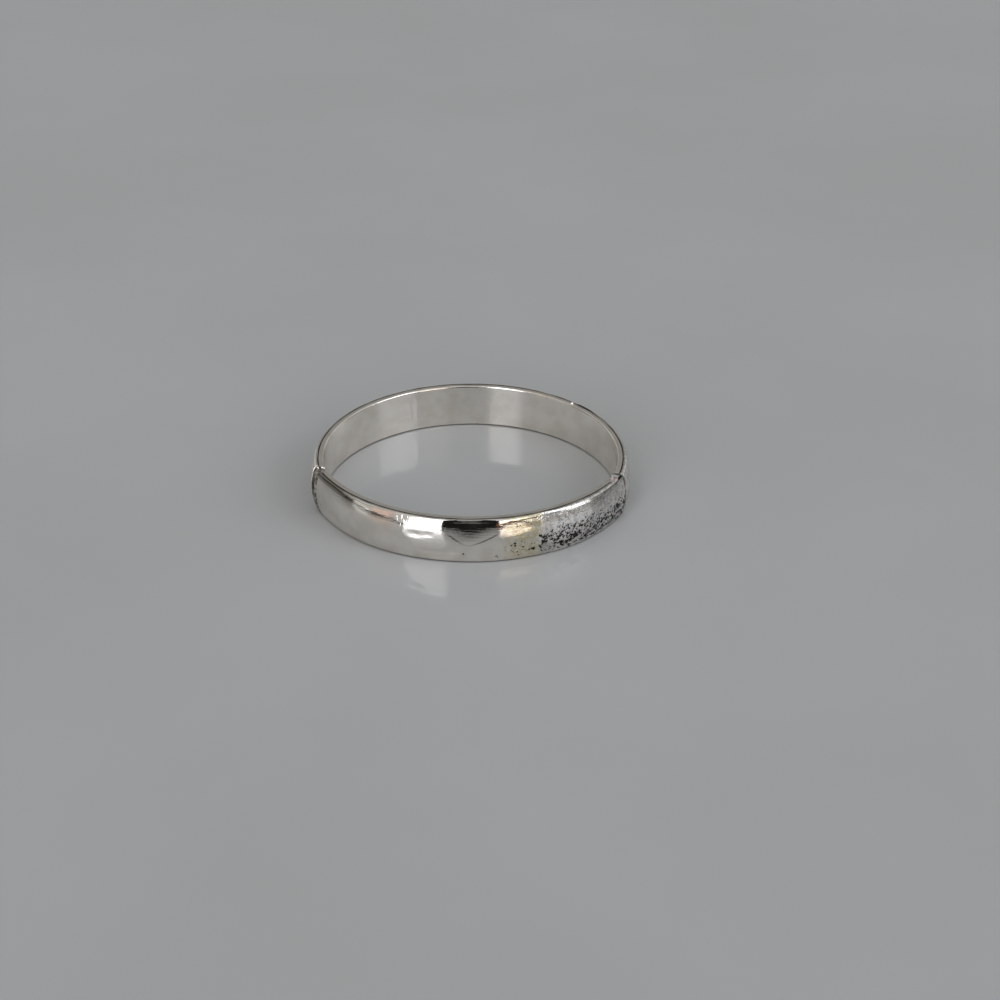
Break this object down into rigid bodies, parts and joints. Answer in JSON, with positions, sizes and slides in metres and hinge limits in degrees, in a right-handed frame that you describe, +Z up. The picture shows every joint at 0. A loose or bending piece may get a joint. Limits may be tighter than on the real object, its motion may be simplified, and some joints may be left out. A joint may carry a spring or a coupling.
{
  "type": "bangle bracelet",
  "caption": "Slim hollow hinged bangle with a domed outside and a flat inside, a barrel hinge, and a sprung tongue catch released by a small thumb tab on the rim.",
  "frame": {"origin": "middle of the ring's outline, at the lower rim that it lies on", "axes": "+Z up, along the band's width; +X across the wrist opening towards the clasp; -Y towards the front half that swings open"},
  "size_m": [0.0644, 0.06, 0.0096],
  "materials": {
    "polished_shell": "polished silver, worn, with fine scratches and dark pits",
    "liner": "polished silver, slightly rubbed",
    "hinge_and_plates": "silver with tarnish in the gaps",
    "spring_strip": "drawn hard silver alloy strip",
    "thumb_tab": "rubbed bright silver",
    "solder": "bright solder"
  },
  "bodies": {
    "back_half": {"back_shell": "polished_shell", "back_liner": "liner", "back_hinge_plate": "hinge_and_plates", "back_catch_plate": "hinge_and_plates", "solder_bead": "solder", "hinge_knuckle_lower": "hinge_and_plates", "hinge_knuckle_upper": "hinge_and_plates", "hinge_pin": "hinge_and_plates"},
    "front_half": {"front_shell": "polished_shell", "front_liner": "liner", "front_hinge_plate": "hinge_and_plates", "front_clasp_plate": "hinge_and_plates", "hinge_knuckle_middle": "hinge_and_plates", "tongue_base": "spring_strip"},
    "spring_tongue": {"spring_leaf": "spring_strip", "thumb_tab": "thumb_tab"}
  },
  "joints": [
    {"name": "bangle_hinge", "type": "hinge", "parent": "back_half", "child": "front_half", "pos_m": [-0.02961, -0.00932, 0.00465], "axis": [0, 0, 1], "range_deg": [-55, 0]},
    {"name": "tongue_press", "type": "hinge", "parent": "front_half", "child": "spring_tongue", "pos_m": [0.03025, -0.00855, 0.005], "axis": [0.9995, -0.0306, 0], "range_deg": [0, 9], "stiffness_Nm_per_rad": 0.04, "springref_deg": -2.86}
  ]
}
